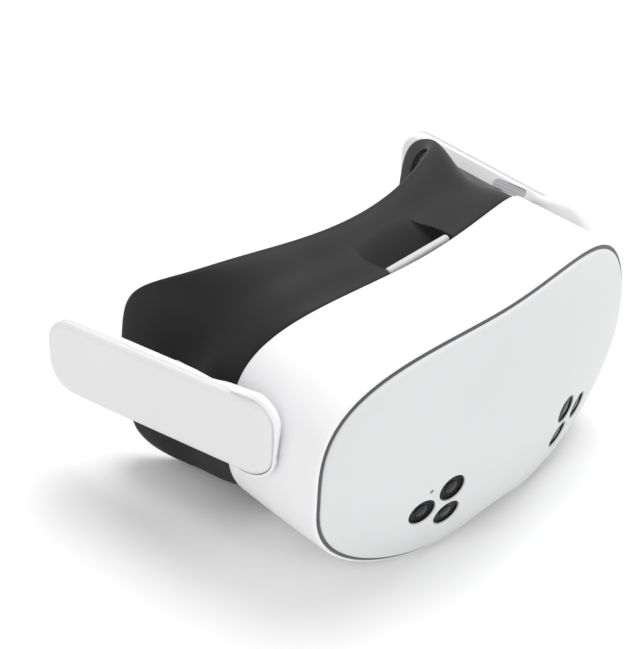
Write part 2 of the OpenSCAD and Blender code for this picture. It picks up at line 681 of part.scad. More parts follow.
main_shell();
front_cover();
cover_gasket();
camera_windows();
camera_modules();
status_led();
chassis_frame();
chassis_screws();
mainboard();
processor_shield();
heat_sink();
fan_housing();
fan_rotor();
battery_pack();
display_panel();
rear_bezel();
bezel_screws();
lens_rails();
left_lens_barrel();
left_lens();
right_lens_barrel();
right_lens();
lens_pinion();
pinion_pin();
proximity_sensor();
vent_grille();
charge_contacts();
usb_port();
power_button();
volume_rocker();
rocker_pin();
action_button();
left_pivot_hub();
right_pivot_hub();
facial_frame();
light_shield();
face_cushion();
left_arm_cover();
left_arm_inner();
pivot_pin(LEFT);  // left_pivot_pin
pivot_washer(LEFT);  // left_pivot_washer
speaker(LEFT);  // left_speaker
speaker_grille(LEFT);  // left_speaker_grille
arm_screws(LEFT);  // left_arm_screws
right_arm_cover();
right_arm_inner();
pivot_pin(RIGHT);  // right_pivot_pin
pivot_washer(RIGHT);  // right_pivot_washer
speaker(RIGHT);  // right_speaker
speaker_grille(RIGHT);  // right_speaker_grille
arm_screws(RIGHT);  // right_arm_screws
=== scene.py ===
"""The looks of a VR headset: a white visor, a charcoal facial interface and two rigid side arms."""

import json
import math

import bmesh
import bpy
from mathutils import Matrix, Vector


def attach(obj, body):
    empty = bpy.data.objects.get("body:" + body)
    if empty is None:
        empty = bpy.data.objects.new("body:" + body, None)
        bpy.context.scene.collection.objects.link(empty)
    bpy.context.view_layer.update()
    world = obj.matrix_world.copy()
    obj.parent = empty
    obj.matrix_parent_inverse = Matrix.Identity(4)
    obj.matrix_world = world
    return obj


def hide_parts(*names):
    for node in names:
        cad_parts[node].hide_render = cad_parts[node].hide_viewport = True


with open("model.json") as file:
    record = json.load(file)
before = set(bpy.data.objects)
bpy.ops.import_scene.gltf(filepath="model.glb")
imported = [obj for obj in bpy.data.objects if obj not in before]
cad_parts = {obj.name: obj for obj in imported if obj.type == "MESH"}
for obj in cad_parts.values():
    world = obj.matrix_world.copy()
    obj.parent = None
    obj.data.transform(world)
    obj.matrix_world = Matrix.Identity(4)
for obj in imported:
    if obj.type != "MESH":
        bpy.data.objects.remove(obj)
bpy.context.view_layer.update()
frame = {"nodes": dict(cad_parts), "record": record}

MM = 0.001
LEFT, RIGHT = 1, -1  # the wearer's left is +X
SIDES = {LEFT: "left", RIGHT: "right"}
ARM_END = 148.0  # front of the visor to the arm tips, mm
MID_H = 46.5  # height of the face's middle above the floor, mm
TURNS = 360  # points round a rounded outline

# Outlines: half width, top, bottom, top roundness, bottom roundness, nose arch height, arch width
FRONT_EDGE = (91.8, 51.8, 50.3, 2.96, 2.25, 9.5, 20)
REAR_EDGE = (84.6, 51, 50, 3.4, 2.9, 13, 22)
RIM_EDGE = (80.4, 50.3, 47.5, 4.75, 7, 26, 21)
SHIELD_WAIST = (3.1, 2.4, 0, 0.65, 0, 0, 0)  # how much the light shield narrows halfway back
FACE_HALF = 90.0  # half width and half height over which the faceplate's depth is stated
FACE_TALL = 50.0
FACE_BOW, FACE_LEAN, FACE_CROWN = 20, 2.8, 11  # its depth at the side, lean and crown
REAR_Y, REAR_BOW = 55.6, 18.5  # the housing's rear edge: depth in the middle, more at the side
RIM_UPPER = (91.5, 26.5, 17.5, 14)  # rim depth: middle, bow, turn at the side and its power
RIM_LOWER = (86.5, 26, 17, 8)
RIM_BLEND = 30  # height over which the upper rim line turns into the lower one
FLOOR_LIFT = 0.4  # the soft parts' height above the surface that the visor stands on
WALL = 2.2
JOINT_GAP = 0.6
COVER_INSET = 2.4
SHIELD_INSET = 1.4


# ---------------------------------------------------------------- numbers
def mix(a, b, k):
    return a + (b - a) * k


def smooth(k):
    k = min(1.0, max(0.0, k))
    return k * k * (3 - 2 * k)


def mix_edge(a, b, k):
    return tuple(mix(p, q, k) for p, q in zip(a, b))


def shrink(edge, d):
    return (edge[0] - d, edge[1] - d, edge[2] - d) + tuple(edge[3:])


def outline(t, edge):
    """A point of a rounded outline, as x and z in mm, in direction t in radians."""
    a, top, bottom, n_top, n_bottom, arch, arch_w = edge
    c, s = math.cos(t), math.sin(t)
    b, n = (top, n_top) if s >= 0 else (bottom, n_bottom)
    r = ((abs(c) / a) ** n + (abs(s) / b) ** n) ** (-1 / n)
    x = r * c
    return x, r * s + (0 if s >= 0 else arch * math.exp(-((x / arch_w) ** 2)))


def face_y(x, z):
    rise = z / FACE_TALL
    return FACE_BOW * (x / FACE_HALF) ** 2 + FACE_LEAN * rise + FACE_CROWN * rise**2


def rear_y(x):
    return REAR_Y + REAR_BOW * (x / FACE_HALF) ** 2


def shell_point(t, s, d):
    """A point of the housing: s from 0 at the front lip to 1 at the rear edge, d mm deep."""
    x, z = outline(t, shrink(mix_edge(FRONT_EDGE, REAR_EDGE, s), d))
    z = soft_floor(z, -MID_H + d * min(1, 0.15 + s / 0.12))
    return x, mix(face_y(x, z) + JOINT_GAP, rear_y(x), s), z


def soft_floor(z, level, blend=0.5):
    """z, kept at or above a level, with a rounded corner."""
    gap = z - level
    return level + 0.5 * (gap + math.sqrt(gap * gap + blend * blend)) - 0.02


def rim_y(x, z):
    k = abs(x) / RIM_EDGE[0]
    upper, lower = (
        middle + bow * k**2 + turn * k**power for middle, bow, turn, power in (RIM_UPPER, RIM_LOWER)
    )
    return mix(upper, lower, max(0.0, min(1.0, -z / RIM_BLEND)))


def shield_point(t, s, d):
    """A point of the light shield: s from 0 behind the housing to 1 at the rim, d mm deep."""
    waist = math.sin(math.pi * max(0.0, min(1.0, (s - 0.06) / 0.88))) ** 2
    edge = mix_edge(shrink(REAR_EDGE, SHIELD_INSET), RIM_EDGE, smooth(1.6 * (s - 0.06)))
    edge = tuple(e - waist * w for e, w in zip(edge, SHIELD_WAIST))
    x, z = outline(t, shrink(edge, d))
    z = soft_floor(z, -MID_H + FLOOR_LIFT + max(0.0, d))
    return x, mix(rear_y(x) + 0.3, rim_y(x, z), s), z


def turns(count=TURNS):
    return [math.tau * i / count for i in range(count)]


def row(p):
    """A point in mm from the face's middle, as a point of the row frame in metres."""
    return Vector((p[0] * MM, (p[1] - ARM_END / 2) * MM, (p[2] + MID_H) * MM))


# ---------------------------------------------------------------- meshes
def mesh_object(name, points, faces, sharp=35):
    mesh = bpy.data.meshes.new(name)
    mesh.from_pydata([row(p) for p in points], [], faces)
    piece = bpy.data.objects.new(name, mesh)
    bpy.context.scene.collection.objects.link(piece)
    finish_mesh(piece, sharp)
    return piece


def finish_mesh(piece, sharp=35):
    """Outward normals, and smooth shading up to an angle in degrees."""
    work = bmesh.new()
    work.from_mesh(piece.data)
    bmesh.ops.remove_doubles(work, verts=work.verts, dist=1e-7)
    bmesh.ops.recalc_face_normals(work, faces=work.faces)
    work.to_mesh(piece.data)
    work.free()
    piece.data.polygons.foreach_set("use_smooth", [True] * len(piece.data.polygons))
    piece.data.set_sharp_from_angle(angle=math.radians(sharp))
    piece.data.update()


def loop_faces(n, m):
    """Faces of n sections of m points each, closed both ways."""
    return [
        (i * m + j, (i + 1) % n * m + j, (i + 1) % n * m + (j + 1) % m, i * m + (j + 1) % m)
        for i in range(n)
        for j in range(m)
    ]


def ring_solid(name, sections, sharp=35):
    """A solid swept round a closed loop, from equal closed sections."""
    points = [p for s in sections for p in s]
    return mesh_object(name, points, loop_faces(len(sections), len(sections[0])), sharp)


def stack_solid(name, rings, sharp=35, ends=None):
    """A closed solid from a stack of equal rings, with a flat face or a point at each end."""
    n = len(rings[0])
    points = [p for r in rings for p in r]
    faces = [
        (j * n + i, j * n + (i + 1) % n, (j + 1) * n + (i + 1) % n, (j + 1) * n + i)
        for j in range(len(rings) - 1)
        for i in range(n)
    ]
    last = (len(rings) - 1) * n
    if ends:
        points += ends
        first_tip, last_tip = len(points) - 2, len(points) - 1
        faces += [(first_tip, (i + 1) % n, i) for i in range(n)]
        faces += [(last_tip, last + i, last + (i + 1) % n) for i in range(n)]
    else:
        faces += [tuple(reversed(range(n))), tuple(last + i for i in range(n))]
    return mesh_object(name, points, faces, sharp)


def lathe(name, profile, place, count=64, sharp=30):
    """A turned solid from (radius, height) points, whose ends lie on the axis."""
    inner = profile[1:-1]
    rings = [
        [place(r * math.cos(a), r * math.sin(a), h) for a in turns(count)] for r, h in inner
    ]
    ends = [place(0, 0, profile[0][1]), place(0, 0, profile[-1][1])]
    return stack_solid(name, rings, sharp, ends)


def placed_by(origin, x_axis, z_axis):
    """A function from local x, y, z in mm to the face's frame, +Z along z_axis."""
    zed = Vector(z_axis).normalized()
    ex = (Vector(x_axis) - Vector(x_axis).dot(zed) * zed).normalized()
    why = zed.cross(ex)
    start = Vector(origin)
    return lambda x, y, z: start + ex * x + why * y + zed * z


def on_face(x, z):
    """Local +Z points straight out of the faceplate."""
    slope_x = 2 * FACE_BOW * x / FACE_HALF**2
    slope_z = FACE_LEAN / FACE_TALL + 2 * FACE_CROWN * z / FACE_TALL**2
    return placed_by((x, face_y(x, z), z), (1, 0, 0), (slope_x, -1, slope_z))


def on_shell(degrees, s):
    """Local +Z points straight out of the housing, and local +Y points back."""
    t = math.radians(degrees)
    step = math.radians(1)
    ahead, behind = Vector(shell_point(t + step, s, 0)), Vector(shell_point(t - step, s, 0))
    along = ahead - behind
    out = Vector((along.z, 0, -along.x))
    return placed_by(shell_point(t, s, 0), (along.x, 0, along.z), out)


def cylinder(name, place, r, low, high, count=48):
    return lathe(name, [(0, low), (r, low), (r, high), (0, high)], place, count)


def capsule(name, place, length, width, low, high, count=24):
    """A pill-shaped block, its length along local +X."""
    outline_points = []
    for side, start in ((1, -math.pi / 2), (-1, math.pi / 2)):
        for i in range(count + 1):
            a = start + math.pi * i / count
            centre = side * (length - width) / 2
            outline_points.append((centre + width / 2 * math.cos(a), width / 2 * math.sin(a)))
    rings = [[place(x, y, h) for x, y in outline_points] for h in (low, high)]
    return stack_solid(name, rings)


def cut(piece, cutters, sharp=35):
    """Cuts each cutter from a piece, and removes the cutters."""
    for cutter in cutters:
        tool = piece.modifiers.new("cut", "BOOLEAN")
        tool.operation = "DIFFERENCE"
        tool.solver = "EXACT"
        tool.object = cutter
    apply_modifiers(piece)
    for cutter in cutters:
        bpy.data.objects.remove(cutter)
    finish_mesh(piece, sharp)
    return piece


def apply_modifiers(piece):
    graph = bpy.context.evaluated_depsgraph_get()
    graph.update()
    result = bpy.data.meshes.new_from_object(piece.evaluated_get(graph))
    piece.modifiers.clear()
    piece.data = result


# ---------------------------------------------------------------- materials
def new_material(name):
    material = bpy.data.materials.new(name)
    material.use_nodes = True
    nodes = material.node_tree.nodes
    return material, nodes, material.node_tree.links, nodes["Principled BSDF"]


def noise(nodes, links, scale, detail=3.0, stretch=(1, 1, 1)):
    """A noise texture in object space, whose scale is in cycles per metre."""
    where = nodes.new("ShaderNodeTexCoord")
    mapping = nodes.new("ShaderNodeMapping")
    mapping.inputs["Scale"].default_value = stretch
    texture = nodes.new("ShaderNodeTexNoise")
    texture.inputs["Scale"].default_value = scale
    texture.inputs["Detail"].default_value = detail
    links.new(where.outputs["Object"], mapping.inputs["Vector"])
    links.new(mapping.outputs["Vector"], texture.inputs["Vector"])
    return texture.outputs["Fac"]


def ramp(nodes, links, value, low, high, start=0.35, end=0.65):
    """A value turned into a range between two colours or greys."""
    stops = nodes.new("ShaderNodeValToRGB")
    stops.color_ramp.elements[0].position = start
    stops.color_ramp.elements[1].position = end
    stops.color_ramp.elements[0].color = low
    stops.color_ramp.elements[1].color = high
    links.new(value, stops.inputs["Fac"])
    return stops.outputs["Color"]


def grey(v):
    return (v, v, v, 1)


def shade(color, k):
    return tuple(min(1.0, c * k) for c in color[:3]) + (1,)


def bump(nodes, links, shader, height, depth, strength):
    """Bump of a real depth in metres."""
    node = nodes.new("ShaderNodeBump")
    node.inputs["Strength"].default_value = strength
    node.inputs["Distance"].default_value = depth
    links.new(height, node.inputs["Height"])
    links.new(node.outputs["Normal"], shader.inputs["Normal"])


def plastic(name, color, rough=0.35, grain=2600, depth=0.00002, coat=0.0, tone=0.03, specular=0.5):
    """Moulded plastic: slight changes of tone and gloss, and a fine spark-eroded grain."""
    material, nodes, links, shader = new_material(name)
    broad = noise(nodes, links, 28, 4)
    fine = noise(nodes, links, grain, 3)
    links.new(ramp(nodes, links, broad, shade(color, 1 - tone), shade(color, 1 + tone)),
              shader.inputs["Base Color"])
    links.new(ramp(nodes, links, broad, grey(rough * 0.88), grey(rough * 1.12)),
              shader.inputs["Roughness"])
    bump(nodes, links, shader, fine, depth, 0.5)
    shader.inputs["Coat Weight"].default_value = coat
    shader.inputs["Coat Roughness"].default_value = 0.12
    shader.inputs["Specular IOR Level"].default_value = specular
    return material


def metal(name, color, rough=0.3, stretch=(1, 1, 30), depth=0.00001):
    """Brushed or cast metal, with streaks along its shortest scale."""
    material, nodes, links, shader = new_material(name)
    streaks = noise(nodes, links, 900, 5, stretch)
    links.new(ramp(nodes, links, streaks, shade(color, 0.86), shade(color, 1.1)),
              shader.inputs["Base Color"])
    links.new(ramp(nodes, links, streaks, grey(rough * 0.75), grey(rough * 1.3)),
              shader.inputs["Roughness"])
    shader.inputs["Metallic"].default_value = 1
    bump(nodes, links, shader, streaks, depth, 0.4)
    return material


def soft_rubber(name, color, rough=0.62, tone=0.12, sheen=0.15):
    """Soft moulded rubber: an even matte skin with fine pores and a faint bloom."""
    material, nodes, links, shader = new_material(name)
    broad = noise(nodes, links, 22, 5)
    pores = noise(nodes, links, 1900, 4)
    links.new(ramp(nodes, links, broad, shade(color, 1 - tone), shade(color, 1 + tone)),
              shader.inputs["Base Color"])
    links.new(ramp(nodes, links, broad, grey(rough * 0.9), grey(min(1, rough * 1.1))),
              shader.inputs["Roughness"])
    shader.inputs["Sheen Weight"].default_value = sheen
    shader.inputs["Sheen Roughness"].default_value = 0.5
    shader.inputs["Specular IOR Level"].default_value = 0.28
    bump(nodes, links, shader, pores, 0.00004, 0.6)
    return material


def foam_cloth(name, color):
    """Knitted cloth over foam: rows of small loops, a soft sheen and uneven tone."""
    material, nodes, links, shader = new_material(name)
    where = nodes.new("ShaderNodeTexCoord")
    loops = nodes.new("ShaderNodeTexVoronoi")
    loops.inputs["Scale"].default_value = 1500
    loops.inputs["Randomness"].default_value = 0.35
    links.new(where.outputs["Object"], loops.inputs["Vector"])
    broad = noise(nodes, links, 35, 4)
    links.new(ramp(nodes, links, broad, shade(color, 0.8), shade(color, 1.3)),
              shader.inputs["Base Color"])
    links.new(ramp(nodes, links, loops.outputs["Distance"], grey(0.75), grey(0.98), 0.1, 0.6),
              shader.inputs["Roughness"])
    shader.inputs["Sheen Weight"].default_value = 0.12
    shader.inputs["Specular IOR Level"].default_value = 0.2
    shader.inputs["Sheen Roughness"].default_value = 0.4
    bump(nodes, links, shader, loops.outputs["Distance"], 0.00015, 0.8)
    return material


def clear_glass(name, color, rough=0.03):
    """Coated optical glass, faintly tinted."""
    material, nodes, links, shader = new_material(name)
    broad = noise(nodes, links, 12, 2)
    links.new(ramp(nodes, links, broad, shade(color, 0.97), shade(color, 1.0)),
              shader.inputs["Base Color"])
    links.new(ramp(nodes, links, broad, grey(rough), grey(rough * 1.6)), shader.inputs["Roughness"])
    shader.inputs["Transmission Weight"].default_value = 0.9
    shader.inputs["IOR"].default_value = 1.49
    shader.inputs["Coat Weight"].default_value = 0.6
    shader.inputs["Coat Tint"].default_value = (0.75, 0.7, 1.0, 1)
    return material


def circuit_board(name, color):
    """Green solder mask with faint copper tracks under it."""
    material, nodes, links, shader = new_material(name)
    where = nodes.new("ShaderNodeTexCoord")
    tracks = nodes.new("ShaderNodeTexBrick")
    tracks.inputs["Scale"].default_value = 160
    tracks.inputs["Mortar Size"].default_value = 0.05
    tracks.inputs["Color1"].default_value = shade(color, 1)
    tracks.inputs["Color2"].default_value = shade(color, 0.85)
    tracks.inputs["Mortar"].default_value = shade(color, 1.8)
    links.new(where.outputs["Object"], tracks.inputs["Vector"])
    links.new(tracks.outputs["Color"], shader.inputs["Base Color"])
    fine = noise(nodes, links, 700, 3)
    links.new(ramp(nodes, links, fine, grey(0.3), grey(0.45)), shader.inputs["Roughness"])
    bump(nodes, links, shader, tracks.outputs["Fac"], 0.00003, 0.4)
    return material


def speckled(name, color, spots):
    """Pale moulded plastic with small darker flecks."""
    material, nodes, links, shader = new_material(name)
    flecks = noise(nodes, links, 3200, 2)
    links.new(ramp(nodes, links, flecks, color + (1,), spots + (1,), 0.56, 0.62),
              shader.inputs["Base Color"])
    links.new(ramp(nodes, links, flecks, grey(0.5), grey(0.6)), shader.inputs["Roughness"])
    bump(nodes, links, shader, flecks, 0.00004, 0.5)
    return material


# Each is the finish of one material slot
MATERIALS = {
    "shell_white": plastic("shell_white", (0.86, 0.86, 0.87), 0.34, coat=0.15, tone=0.012),
    "face_white": plastic("face_white", (0.70, 0.705, 0.71), 0.42, grain=3400, tone=0.012),
    # arm_grey is painted shade: a grey set darker than shell_white, standing for the shade that
    # falls on the arm plates' side-facing faces
    "arm_grey": plastic("arm_grey", (0.77, 0.77, 0.775), 0.42, grain=3400, tone=0.012),
    "gasket_grey": soft_rubber("gasket_grey", (0.10, 0.10, 0.105), 0.6),
    "window_black": plastic("window_black", (0.003, 0.003, 0.004), 0.22, depth=0, specular=0.09),
    "module_black": plastic("module_black", (0.03, 0.03, 0.033), 0.5),
    "led_white": plastic("led_white", (0.16, 0.16, 0.17), 0.25),
    "frame_metal": metal("frame_metal", (0.55, 0.56, 0.58), 0.42, (1, 1, 1)),
    "screw_steel": metal("screw_steel", (0.35, 0.35, 0.37), 0.3),
    "pin_steel": metal("pin_steel", (0.55, 0.55, 0.57), 0.2),
    "board_green": circuit_board("board_green", (0.02, 0.12, 0.06)),
    "shield_metal": metal("shield_metal", (0.6, 0.6, 0.6), 0.35),
    "copper": metal("copper", (0.72, 0.36, 0.2), 0.28),
    "battery_foil": plastic("battery_foil", (0.12, 0.13, 0.14), 0.4),
    "display_black": plastic("display_black", (0.008, 0.008, 0.012), 0.08, depth=0, coat=0.5),
    "bezel_black": plastic("bezel_black", (0.028, 0.028, 0.03), 0.55, grain=1800, tone=0.1),
    "lens_clear": clear_glass("lens_clear", (0.9, 0.93, 0.97)),
    "pinion_ivory": plastic("pinion_ivory", (0.7, 0.66, 0.54), 0.4),
    "sensor_glass": plastic("sensor_glass", (0.03, 0.012, 0.035), 0.1, depth=0, coat=0.6),
    "vent_light": speckled("vent_light", (0.60, 0.60, 0.60), (0.44, 0.44, 0.44)),
    "contact_gold": metal("contact_gold", (0.85, 0.6, 0.25), 0.2),
    "shield_charcoal": soft_rubber("shield_charcoal", (0.0155, 0.0155, 0.0165), 0.6, sheen=0.0),
    "foam_charcoal": foam_cloth("foam_charcoal", (0.036, 0.036, 0.038)),
    "grille_grey": plastic("grille_grey", (0.55, 0.55, 0.56), 0.45),
}
LENS_GREY = plastic("camera_lens_grey", (0.014, 0.014, 0.016), 0.14, depth=0, specular=0.22)


def dress(piece, slot, body, *replaced):
    """Gives a new piece its material, its body and the CAD nodes that it stands for."""
    piece.data.materials.clear()
    piece.data.materials.append(MATERIALS[slot])
    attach(piece, body)
    if replaced:
        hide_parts(*replaced)
    return piece


def paint_cad_nodes():
    """Every CAD node gets its slot's material, and some get a bevel on the welded mesh."""
    rounded = {
        "power_button": 0.5, "action_button": 0.5, "volume_rocker": 0.6, "rear_bezel": 0.3,
        "left_lens_barrel": 0.35, "right_lens_barrel": 0.35, "proximity_sensor": 0.3,
        "charge_contacts": 0.2, "usb_port": 0.12, "left_pivot_hub": 0.3, "right_pivot_hub": 0.3,
        "chassis_frame": 0.3, "battery_pack": 0.8, "fan_housing": 0.2, "processor_shield": 0.2,
    }
    slots = {s["node"]: s["material_slot"] for s in frame["record"]["subparts"]}
    for node, slot in slots.items():
        piece = frame["nodes"][node]
        piece.data.materials.clear()
        piece.data.materials.append(MATERIALS[slot])
        width = rounded.get(node)
        if width:
            weld = piece.modifiers.new("weld", "WELD")
            weld.merge_threshold = 1e-5
            bevel = piece.modifiers.new("bevel", "BEVEL")
            bevel.width = width * MM
            bevel.segments = 3
            bevel.limit_method = "ANGLE"
            bevel.angle_limit = math.radians(40)
            bevel.harden_normals = True


# ---------------------------------------------------------------- visor
PORTS = [(34.6, -10.8), (47.2, -17.4), (34.1, -24.3)]
PORT_R = 6.0
LED_PLACE = (-44.9, -7.5)
LED_R = 0.8
POWER = (-10, 0.3, 3.6)  # direction in degrees, depth and radius of each round key
ACTION = (218, 0.45, 3.4)
VOLUME = (-38, 0.45, 17, 4.4)  # direction, depth, length and width
USB = (-11, 0.72, 9, 3.2)
CONTACTS = [(32 + 3.6 * i, 40) for i in range(4)]
PIVOT_Y, PIVOT_Z = 58.0, 14.0
ARM_INNER_X = 89.4
HUB_R = 7.0
HUB_FLANGE = 9.2


def arc(start, end, steps):
    return [start + (end - start) * i / steps for i in range(steps + 1)]


def along_x(side):
    """Local +Z points outwards along an arm's pivot."""
    return placed_by((side * ARM_INNER_X, PIVOT_Y, PIVOT_Z), (0, 1, 0), (side, 0, 0))


def turned_quarter(place):
    """The same frame, turned so that its local +X points back along the housing."""
    return lambda x, y, z: place(-y, x, z)


def moved(place, dx, dy):
    """The same frame, moved along its own x and y."""
    return lambda x, y, z: place(x + dx, y + dy, z)


def visor_shell():
    """The white band of the visor, with a rounded lip in front and a rounded rear edge."""
    lip = [(0.035, WALL), (0.02, 1.55), (0.012, 1.25), (0.003, 1.1), (0.0, 0.85)]
    lip += [(0.0006, 0.6), (0.003, 0.38), (0.008, 0.2), (0.016, 0.07), (0.028, 0)]
    side = [(s, 0) for s in arc(0.06, 0.965, 26)]
    rear = [(0.978, 0.06), (0.988, 0.22), (0.996, 0.5), (1.0, 0.9), (1.0, 1.6), (0.998, WALL)]
    inside = [(s, WALL) for s in arc(0.9, 0.1, 10)]
    profile = lip + side + rear + inside
    shell = ring_solid("visor_shell", [[shell_point(t, *p) for p in profile] for t in turns()])
    cutters = []
    for side_sign in SIDES:
        place = along_x(side_sign)
        cutters.append(cylinder("hole", place, HUB_R + 0.1, -20, 10, 96))
        cutters.append(cylinder("hole", place, HUB_FLANGE + 0.1, -20, -6.5, 96))
    for degrees, s, r in (POWER, ACTION):
        profile = [(0, -6), (r + 0.2, -6), (r + 0.2, -0.5), (r + 0.5, 0), (r + 0.5, 3), (0, 3)]
        cutters.append(lathe("hole", profile, on_shell(degrees, s)))
    for degrees, s, length, width in (VOLUME, USB):
        turned = turned_quarter(on_shell(degrees, s))
        cutters.append(capsule("hole", turned, length + 0.5, width + 0.5, -6, 6))
    for x, y in CONTACTS:
        place = placed_by((x, y, -MID_H - 1), (1, 0, 0), (0, 0, 1))
        cutters.append(cylinder("hole", place, 1.25, 0, 5))
    cut(shell, cutters)
    return dress(shell, "shell_white", "visor", "main_shell")


def faceplate():
    """The curved faceplate: a crowned sheet with a rolled edge and six chamfered camera holes."""
    cover_edge = shrink(FRONT_EDGE, COVER_INSET)
    thick = 2.0

    def ring(k, drop):
        points = []
        for t in turns():
            x, z = (k * c for c in outline(t, cover_edge))
            points.append((x, face_y(x, z) + drop, z))
        return points

    crown = [(math.sin(a), 0) for a in arc(0.04, 1.37, 30)]
    edge = [(0.985, 0.02), (0.9895, 0.1), (0.9935, 0.25), (0.997, 0.48), (0.9992, 0.8), (1, 1.2)]
    back = [(0.998, 1.9), (0.993, 2.5), (0.975, 2.6), (0.965, thick)]
    back += [(math.sin(a), thick) for a in arc(1.25, 0.06, 16)]
    rings = [ring(k, drop) for k, drop in crown + edge + back]
    plate = stack_solid("faceplate", rings, 35, [(0, 0, 0), (0, thick, 0)])
    chamfer = PORT_R + 0.45
    hole = [(0, -6), (PORT_R, -6), (PORT_R, -0.45), (PORT_R + 0.12, -0.2), (chamfer, 0.15)]
    hole += [(chamfer, 3), (0, 3)]
    cutters = []
    for side in SIDES:
        for x, z in PORTS:
            cutters.append(lathe("hole", hole, on_face(side * x, z), 96))
    cutters.append(cylinder("hole", on_face(*LED_PLACE), LED_R + 0.05, -6, 3))
    cut(plate, cutters)
    return dress(plate, "face_white", "visor", "front_cover")


def groove_gasket():
    """The grey seal at the bottom of the groove around the faceplate."""
    section = [(0.12, 0.8), (0.5, 0.62), (0.95, 0.7), (1.02, 0.95), (0.12, 1.75)]
    cover_edge = shrink(FRONT_EDGE, COVER_INSET)
    sections = []
    for t in turns():
        points = []
        for out, drop in section:
            x, z = outline(t, shrink(cover_edge, -out))
            points.append((x, face_y(x, z) + drop, z))
        sections.append(points)
    return dress(ring_solid("groove_gasket", sections), "gasket_grey", "visor", "cover_gasket")


def joined(name, parts):
    """Several meshes as one object."""
    work = bmesh.new()
    for part in parts:
        work.from_mesh(part.data)
    for part in parts:
        bpy.data.objects.remove(part)
    mesh = bpy.data.meshes.new(name)
    work.to_mesh(mesh)
    work.free()
    piece = bpy.data.objects.new(name, mesh)
    bpy.context.scene.collection.objects.link(piece)
    finish_mesh(piece, 30)
    return piece


def camera_windows():
    """Six black windows, each with a raised rim, a dished middle and a grey lens dome in it."""
    rim = PORT_R - 0.12
    window = [(0, -2.1), (rim, -2.1), (rim, -0.75), (rim - 0.15, -0.55), (rim - 0.55, -0.5),
              (rim - 0.8, -0.62), (rim - 0.95, -0.95), (3.6, -1.0), (3.3, -1.1), (0, -1.1)]
    radius, foot, bulge = 2.9, -1.05, 0.62
    dome = [(0, -1.3), (radius, -1.3)]
    dome += [(radius * math.cos(a), foot + bulge * math.sin(a)) for a in arc(0.0, 1.4, 8)]
    dome.append((0, foot + bulge))
    spots = [(side * x, z) for side in SIDES for x, z in PORTS]
    windows = joined("camera_windows_black", [lathe("w", window, on_face(*p), 96) for p in spots])
    dress(windows, "window_black", "visor", "camera_windows")
    domes = joined("camera_lens_domes", [lathe("d", dome, on_face(*p), 64) for p in spots])
    dress(domes, "window_black", "visor")
    domes.data.materials[0] = LENS_GREY


# ---------------------------------------------------------------- facial interface
VENT_HALF = 18.0
SKIN = 1.8
RIM_SWELL, RIM_ROLL = 1.0, 4.0  # how far the rim stands out, and its rounding


def notch_half(y):
    """Half the width of the air outlet's scoop, which narrows a little at its rear."""
    return VENT_HALF - 2.2 * smooth((y - 68) / 9)


def scoop_depth(x, y):
    """How far the skin dips into the scoop: deepest behind the visor, fading out at the rear."""
    along = 1 - smooth((y - 58.5) / 20.5)
    half = notch_half(y)
    wall_band = 0.5
    across = 1 - smooth((abs(x) - half + wall_band) / wall_band)
    bowl = 1 - 0.3 * min(1.0, abs(x) / half) ** 5
    return 11.5 * along * across * bowl


def light_shield():
    """The soft charcoal wall from the visor to the face, with a scoop on top and a rounded rim."""
    outside = [(0.0, SKIN), (0.001, 1.5), (0.006, 1.15), (0.016, 0.7), (0.034, 0.28)]
    outside += [(0.056, 0.06), (0.08, 0)]
    outside += [(s, -RIM_SWELL * smooth((s - 0.55) / 0.33)) for s in arc(0.1, 0.88, 42)]
    outside += [(0.88 + 0.12 * math.sin(a), RIM_ROLL * (1 - math.cos(a)) - RIM_SWELL)
                for a in arc(0.15, math.pi / 2, 9)]
    inside = [(s, SKIN) for s in arc(0.92, 0.06, 30)]
    fine = [math.radians(65 + 0.25 * i) for i in range(201)]
    directions = sorted(fine + [t for t in turns() if not fine[0] - 0.01 < t < fine[-1] + 0.01])

    def at(t, s, d):
        x, y, z = shield_point(t, s, d)
        return x, y, z - (scoop_depth(x, y) if z > 30 else 0)

    sections = [[at(t, *p) for p in outside + inside] for t in directions]
    shield = ring_solid("light_shield_soft", sections, 50)
    dress(shield, "shield_charcoal", "facial_interface", "light_shield")


def swell(piece, pressure=4.0, cap=0.002):
    """A short cloth simulation under pressure, a cap on each point's motion, and one subdivision."""
    start = [v.co.copy() for v in piece.data.vertices]
    cloth = piece.modifiers.new("cloth", "CLOTH")
    cloth.settings.use_pressure = True
    cloth.settings.uniform_pressure_force = pressure
    cloth.settings.effector_weights.gravity = 0
    cloth.settings.quality = 5
    for step in range(1, 21):
        bpy.context.scene.frame_set(step)
    apply_modifiers(piece)
    bpy.context.scene.frame_set(1)
    for vertex, rest in zip(piece.data.vertices, start):
        move = vertex.co - rest
        if move.length > cap:
            vertex.co = rest + move.normalized() * cap
    rounding = piece.modifiers.new("subdivide", "SUBSURF")
    rounding.levels = rounding.render_levels = 1
    apply_modifiers(piece)
    finish_mesh(piece, 180)


def face_cushion():
    """The pad round the rim: a crowned foam ring under cloth, with a piped seam along its foot."""
    start, width, thick, proud = 2.6, 13.0, 8.0, 0.5

    def at(t, across, up):
        x, y, z = shield_point(t, 1, start + across * width)
        return x, y + proud - thick * (1 - up), z

    def rounded(v, power=0.6):
        return 0.5 + 0.5 * math.copysign(abs(v) ** power, v)

    section = [(rounded(math.cos(a)), rounded(math.sin(a))) for a in turns(20)]
    cushion = ring_solid("face_cushion_padded", [[at(t, *p) for p in section] for t in turns(300)])
    swell(cushion)
    dress(cushion, "foam_charcoal", "facial_interface", "face_cushion")
    radius = 0.55
    piping = []
    for t in turns():
        x, y, z = at(t, 0.985, 0.42)
        piping.append([(x * (1 - radius / 80 * math.cos(a)), y + radius * math.sin(a),
                        z * (1 - radius / 45 * math.cos(a))) for a in turns(10)])
    dress(ring_solid("cushion_piping", piping, 180), "shield_charcoal", "facial_interface")


